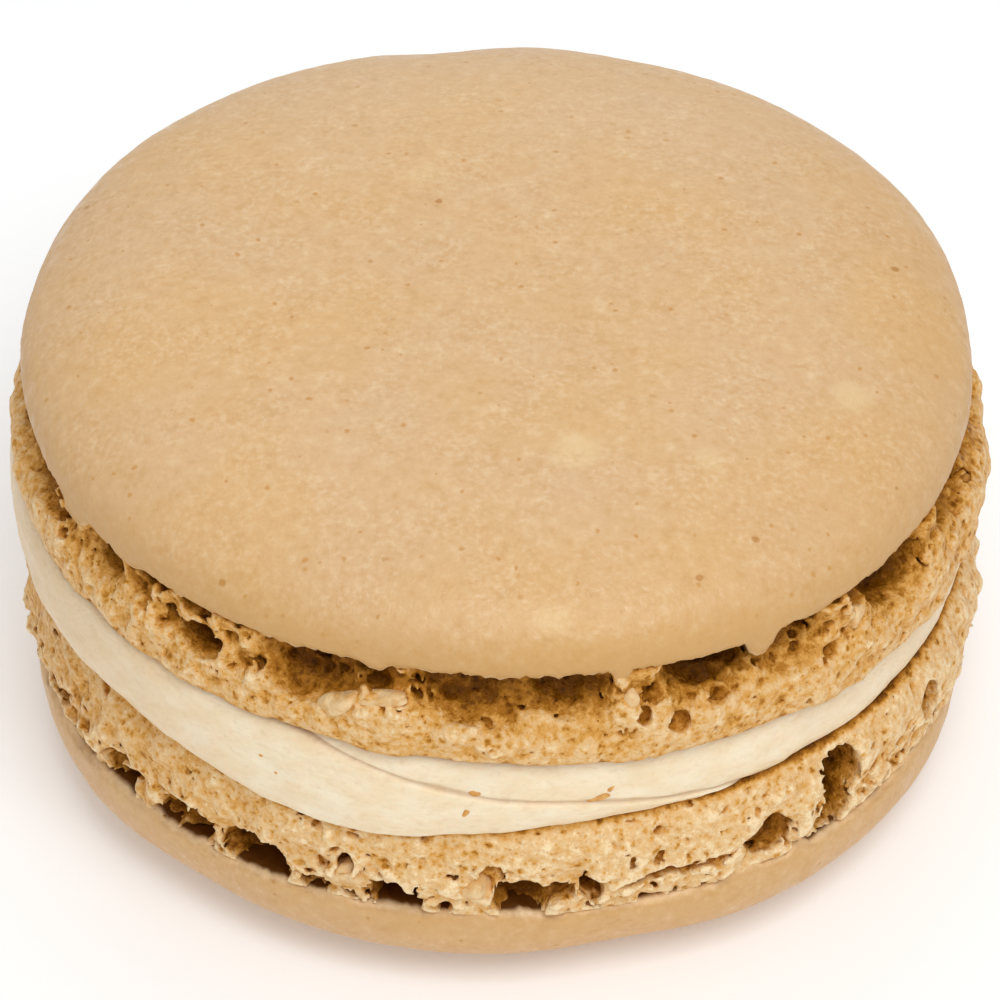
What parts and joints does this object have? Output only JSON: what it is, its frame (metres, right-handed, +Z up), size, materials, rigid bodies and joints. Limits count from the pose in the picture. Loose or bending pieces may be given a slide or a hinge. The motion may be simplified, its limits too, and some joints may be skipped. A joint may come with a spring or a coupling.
{
  "type": "french macaron",
  "caption": "Round filled almond meringue biscuit: two domed shells with ragged feet and a layer of pale cream pressed between them.",
  "frame": {"origin": "middle of the flat spot that the biscuit rests on, on the surface it stands on", "axes": "+Z up through both shells; -Y is the front, with the slanting seam of the cream; the upper shell tips down 1.5 degrees towards +X"},
  "size_m": [0.0456, 0.0455, 0.0244],
  "materials": {
    "shell": null,
    "cream": null
  },
  "bodies": {
    "root": {"lower_shell": "shell", "cream": "cream", "upper_shell": "shell"}
  },
  "joints": []
}
